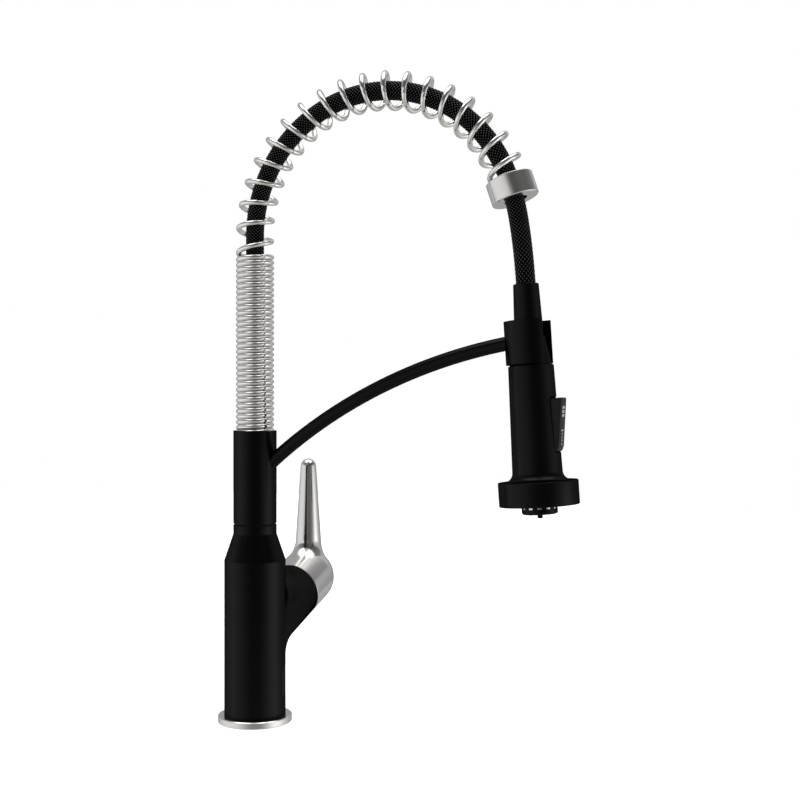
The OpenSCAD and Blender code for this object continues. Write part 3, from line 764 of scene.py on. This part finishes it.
def make_hose(name, start, end, step, sides=128):
    """A stretch of braided hose, with the braid's height stored at each point for its gloss and for the
    painted shade in its grooves.
    """
    count = max(2, int((end - start) / step))
    rings = []
    levels = []
    for i in range(count + 1):
        s = start + (end - start) * i / count
        centre, out, side = hose_frame(s)
        ring = []
        for k in range(sides):
            t = 2 * math.pi * k / sides
            level = braid_height(t, s)
            levels.append(level)
            r = HOSE_R - BRAID_DEPTH * (1 - level)
            ring.append(centre + (out * math.cos(t) + side * math.sin(t)) * r)
        rings.append(ring)
    hose = build(name, *skin(rings), sharp=180)
    heights = hose.data.attributes.new("braid", "FLOAT", "POINT")
    for vertex, value in zip(heights.data, levels):
        vertex.value = value
    return hose


hidden_hose = make_hose("hose_in_body", HOSE_START, HOSE_SHOWN, HIDDEN_STEP, 32)
dress(hidden_hose, FINISH["black_hose"], "black_hose", "spout", "spray_hose")
arch_hose = make_hose("hose_in_arch", HOSE_SHOWN, HOSE_SEAM, HOSE_STEP)
dress(arch_hose, FINISH["black_hose"], "black_hose", "spout", "spray_hose")
# The real tail is drawn out when the spray head is pulled. Here it is a fixed stretch that starts just below
# the seam and rides on no body.
tail_hose = make_hose("hose_tail", HOSE_SEAM, HOSE_TOTAL, HOSE_STEP)
dress(tail_hose, FINISH["black_hose"], "black_hose", None, "spray_hose")
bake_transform(tail_hose)


# ---------------------------------------------------------------- spray head: grip and bell in one moulding
def block(name, low, high, place):
    """A box between two corners in a frame."""
    columns, rows, levels = zip(low, high)
    verts = [place @ Vector((x, y, z)) for z in levels for y in rows for x in columns]
    faces = [(0, 1, 3, 2), (4, 5, 7, 6), (0, 1, 5, 4), (2, 3, 7, 6), (0, 2, 6, 4), (1, 3, 7, 5)]
    return build(name, verts, faces)


def pivot_bore(name):
    place = HEAD @ Matrix.Translation((PIVOT[0], 0, PIVOT[1])) @ Matrix.Rotation(math.pi / 2, 4, "X")
    return cylinder(name, PIVOT_R, -PIVOT_HALF_LEN, PIVOT_HALF_LEN, place, 32)


def make_grip():
    rim_r = BELL_R - BELL_WALL
    fillet = []
    for t in [math.radians(15 * k) for k in range(7)]:
        out = BELL_FILLET * (1 - math.sin(t))
        up = BELL_FILLET * (1 - math.cos(t))
        fillet.append((GRIP_R[0] + out, BELL_H + up, 0))
    outline = [
        (HEAD_BORE_R, BELL_CAVITY_H, 0), (rim_r, BELL_CAVITY_H, 0), (rim_r, 0, 0.4), (BELL_R, 0, 0.7),
        (BELL_R, BELL_H, 0.9), *fillet, (GRIP_R[1], GRIP_TOP_H, 1.3),
        (CONE_R[0], GRIP_TOP_H, 0.3), (CONE_R[1], CONE_TOP_H, 0.3), (HEAD_BORE_R, CONE_TOP_H, 0.2),
    ]
    grip = solid("head_grip", rounded(outline, 0.3, steps=8), HEAD, 160)
    pocket_low = (POCKET_X, -POCKET_HALF_W, POCKET_H[0])
    pocket_high = (BELL_R, POCKET_HALF_W, POCKET_H[1])
    pocket = block("pocket", pocket_low, pocket_high, HEAD)
    combine(grip, [pocket, pivot_bore("pivot_hole")], "DIFFERENCE")
    return dress(grip, FINISH["head_plastic"], "head_plastic", "spray_head", "head_shell")


make_grip()


# ---------------------------------------------------------------- rocker with its marks
def rocker_front(h):
    """Distance of the rocker's front face from the head's axis at a height."""
    low, high = ROCKER_H
    share = (high - ROCKER_LIP - h) / (high - ROCKER_LIP - low - ROCKER_CHIN)
    return ROCKER_FRONT[1] + (ROCKER_FRONT[0] - ROCKER_FRONT[1]) * share


def draw_in(x, h, centre, inset):
    """Moves a point of an outline toward its centre by an inset, or by less where it lies close to it."""
    nearest = 0.1
    most = 0.2
    pull = Vector((x, h)) - centre
    step_x = min(inset, max(abs(pull.x), nearest) * most)
    step_h = min(inset, max(abs(pull.y), nearest) * most)
    return x - math.copysign(step_x, pull.x), h - math.copysign(step_h, pull.y)


def make_rocker():
    low, high = ROCKER_H
    low_x, high_x = ROCKER_FRONT
    outline = [
        (ROCKER_BACK[1], high - 0.3, 0), (high_x - 0.3, high, 1.2), (high_x, high - ROCKER_LIP, 0.3),
        (low_x, low + ROCKER_CHIN, 2.5), (low_x - 1.6, low, 2.2), (ROCKER_BACK[0] + 0.3, low, 0.3),
        (ROCKER_BACK[0], PIVOT[1] - 3, 0), (ROCKER_BACK[0], PIVOT[1] + 1, 0),
    ]
    side = rounded(outline, 0.3, steps=6)
    centre = Vector((ROCKER_MID, (low + high) / 2))
    half = [(ROCKER_HALF_W - inward, inset) for inward, inset in ROCKER_EDGE]
    rings = []
    for y, inset in half + [(-v, i) for v, i in reversed(half)]:
        drawn = [draw_in(x, h, centre, inset) for x, h in side]
        rings.append([HEAD @ Vector((x, y, h)) for x, h in drawn])
    rocker = build("rocker_paddle", *skin(rings))
    combine(rocker, [pivot_bore("rocker_bore")], "DIFFERENCE")
    return dress(rocker, FINISH["rocker_plastic"], "rocker_plastic", "rocker", "rocker_button")


def mark(half, h):
    """Points and faces of a long oval mark that stands on the rocker's front at a height."""
    outline = long_oval(*half)
    rings = []
    for out, shrink in ((-MARK_SINK, 1.0), (MARK_RISE * 0.6, 1.0), (MARK_RISE, 0.85)):
        drawn = [(u * shrink, h + v * shrink) for u, v in outline]
        rings.append([HEAD @ Vector((rocker_front(up) + out, u, up)) for u, up in drawn])
    return skin(rings)


def make_marks():
    low, high = ROCKER_H
    parts = [mark(BAR_HALF, high - place) for place in BAR_PLACES]
    parts += [mark(DOT_HALF, low + place) for place in DOT_PLACES]
    parts.append(mark(LINE_HALF, low + LINE_PLACE))
    verts = []
    faces = []
    for part_verts, part_faces in parts:
        faces += [tuple(i + len(verts) for i in face) for face in part_faces]
        verts += part_verts
    marks = build("rocker_marks", verts, faces)
    return dress(marks, ICON_WHITE, "white_nylon", "rocker")


make_rocker()
make_marks()


# ---------------------------------------------------------------- soft edges on machined and moulded parts
def soften(node, width, segments=3, angle=30):
    """Rounds a CAD node's edges by a width in millimetres."""
    modifier = NODES[node].modifiers.new("soft_edges", "BEVEL")
    modifier.width = width * MM
    modifier.segments = segments
    modifier.limit_method = "ANGLE"
    modifier.angle_limit = math.radians(angle)
    modifier.harden_normals = True


EDGE_WIDTHS = {
    "swivel_sleeve": 0.3, "hose_nut": 0.4, "holder_clip": 0.35, "spring_collar": 0.25, "base_ring": 0.2,
    "nozzle_housing": 0.15, "sensor_window": 0.3,
}
for node, width in EDGE_WIDTHS.items():
    soften(node, width)


# ---------------------------------------------------------------- stage and light
def stage_object(name, verts, faces, shade):
    """A floor or backdrop that the camera sees but that casts no light or shade on the object."""
    obj = build(name, verts, faces, 180)
    mat = bpy.data.materials.new(name)
    mat.use_nodes = True
    shade(mat.node_tree.nodes, mat.node_tree.links)
    obj.data.materials.append(mat)
    obj.visible_diffuse = False
    obj.visible_glossy = False
    obj.visible_transmission = False
    obj.visible_shadow = False
    return obj


def white_light(nodes, links):
    nodes.clear()
    glow = nodes.new("ShaderNodeEmission")
    glow.inputs["Strength"].default_value = 1.0
    out = nodes.new("ShaderNodeOutputMaterial")
    links.new(glow.outputs["Emission"], out.inputs["Surface"])


def pale_floor(nodes, links):
    shader = nodes["Principled BSDF"]
    shader.inputs["Base Color"].default_value = (0.8, 0.8, 0.8, 1)
    shader.inputs["Roughness"].default_value = 1.0
    shader.inputs["Specular IOR Level"].default_value = 0.0
    shader.inputs["Emission Color"].default_value = (1, 1, 1, 1)
    shader.inputs["Emission Strength"].default_value = 0.75


FAR = 5000.0
FLOOR_HALF = 2000.0
FLOOR_Z = -0.3
stage_object("backdrop", *revolve([(0, -FAR), (FAR, -FAR), (FAR, FAR), (0, FAR)], None, 48), white_light)
floor_corners = [(x * FLOOR_HALF, y * FLOOR_HALF, FLOOR_Z) for x, y in ((-1, -1), (1, -1), (1, 1), (-1, 1))]
stage_object("floor", floor_corners, [(0, 1, 2, 3)], pale_floor)

# Brightness of the surroundings by direction round the object, as (degrees, brightness): 0 degrees is the
# camera's side, and more is to its right. LEVEL is for level directions.
LEVEL = [
    (-180, 0.35), (-150, 0.4), (-128, 0.55), (-108, 0.8), (-85, 0.88), (-60, 0.88), (-50, 0.75), (-42, 0.5),
    (-32, 0.25), (-16, 0.12), (0, 0.08), (20, 0.12), (38, 0.24), (48, 0.42), (58, 0.85), (68, 1.45),
    (80, 1.6), (90, 1.2), (100, 0.8), (114, 0.55), (130, 0.36), (180, 0.33),
]
LOW = [
    (-180, 0.35), (-150, 0.4), (-125, 0.65), (-105, 0.82), (-45, 0.86), (-37, 0.79), (-25, 0.63), (-12, 0.41),
    (0, 0.34), (24, 0.33), (36, 0.56), (49, 0.86), (62, 1.12), (92, 1.1), (112, 0.8), (140, 0.5), (180, 0.35),
]
RAISED = [
    (-180, 0.35), (-150, 0.4), (-128, 0.55), (-108, 0.8), (-60, 0.85), (-36, 0.82), (-27, 0.62), (-18, 0.42),
    (-9, 0.24), (0, 0.16), (20, 0.12), (38, 0.2), (48, 0.35), (58, 0.5), (68, 0.6), (90, 0.55), (115, 0.45),
    (135, 0.45), (180, 0.35),
]
HIGH = [
    (-180, 0.4), (-110, 0.4), (-70, 0.22), (-40, 0.1), (0, 0.08), (35, 0.12), (75, 0.12), (100, 0.18),
    (116, 0.22), (140, 0.6), (155, 0.5), (180, 0.4),
]
OVERHEAD = [
    (-180, 1.2), (-120, 2.4), (-60, 3.0), (-32, 1.6), (-14, 0.5), (12, 0.7), (32, 1.6), (60, 2.6), (110, 2.2),
    (150, 1.4), (180, 1.2),
]
# The other directions, one band at a time: the height of a direction, from -1 straight down to 1 straight
# up, where a band starts, the height from which it is full, and its brightnesses.
BANDS = [
    (-0.215, -0.245, LOW),
    (-0.03, 0.1, RAISED),
    (0.24, 0.34, HIGH),
    (0.74, 0.9, OVERHEAD),
    (-0.35, -0.8, [(0, 0.42)]),
]
BRIGHTEST = 3.0


def ramp(nodes, stops):
    """A colour ramp over the whole turn, from -180 to 180 degrees, as shares of the brightest value."""
    node = nodes.new("ShaderNodeValToRGB")
    elements = node.color_ramp.elements
    while len(elements) > 1:
        elements.remove(elements[-1])
    for i, (at, value) in enumerate(stops):
        position = (at + 180) / 360
        element = elements[0] if i == 0 else elements.new(position)
        element.position = position
        element.color = (value / BRIGHTEST, value / BRIGHTEST, value / BRIGHTEST, 1)
    return node


def surroundings():
    """The studio's light: a world whose brightness depends on the direction only."""
    world = bpy.data.worlds.new("studio")
    world.use_nodes = True
    bpy.context.scene.world = world
    nodes = world.node_tree.nodes
    links = world.node_tree.links
    nodes.clear()
    place = nodes.new("ShaderNodeTexCoord")
    turned = nodes.new("ShaderNodeVectorRotate")
    turned.rotation_type = "Z_AXIS"
    turned.inputs["Angle"].default_value = math.radians(-CAMERA_TURN)
    links.new(place.outputs["Generated"], turned.inputs["Vector"])
    parts = nodes.new("ShaderNodeSeparateXYZ")
    links.new(turned.outputs["Vector"], parts.inputs["Vector"])
    toward = nodes.new("ShaderNodeMath")
    toward.operation = "MULTIPLY"
    toward.inputs[1].default_value = -1
    links.new(parts.outputs["Y"], toward.inputs[0])
    angle = nodes.new("ShaderNodeMath")
    angle.operation = "ARCTAN2"
    links.new(parts.outputs["X"], angle.inputs[0])
    links.new(toward.outputs["Value"], angle.inputs[1])
    share = nodes.new("ShaderNodeMapRange")
    share.inputs["From Min"].default_value = -math.pi
    share.inputs["From Max"].default_value = math.pi
    links.new(angle.outputs["Value"], share.inputs["Value"])
    level = ramp(nodes, LEVEL)
    links.new(share.outputs["Result"], level.inputs["Fac"])
    result = level.outputs["Color"]
    for start, full, stops in BANDS:
        band = ramp(nodes, stops)
        links.new(share.outputs["Result"], band.inputs["Fac"])
        part = nodes.new("ShaderNodeMapRange")
        part.interpolation_type = "SMOOTHSTEP"
        part.inputs["From Min"].default_value = start
        part.inputs["From Max"].default_value = full
        links.new(parts.outputs["Z"], part.inputs["Value"])
        mixed = nodes.new("ShaderNodeMix")
        mixed.data_type = "RGBA"
        links.new(part.outputs["Result"], mixed.inputs["Factor"])
        links.new(result, mixed.inputs["A"])
        links.new(band.outputs["Color"], mixed.inputs["B"])
        result = mixed.outputs["Result"]
    back = nodes.new("ShaderNodeBackground")
    back.inputs["Strength"].default_value = BRIGHTEST
    links.new(result, back.inputs["Color"])
    out = nodes.new("ShaderNodeOutputWorld")
    links.new(back.outputs["Background"], out.inputs["Surface"])


surroundings()
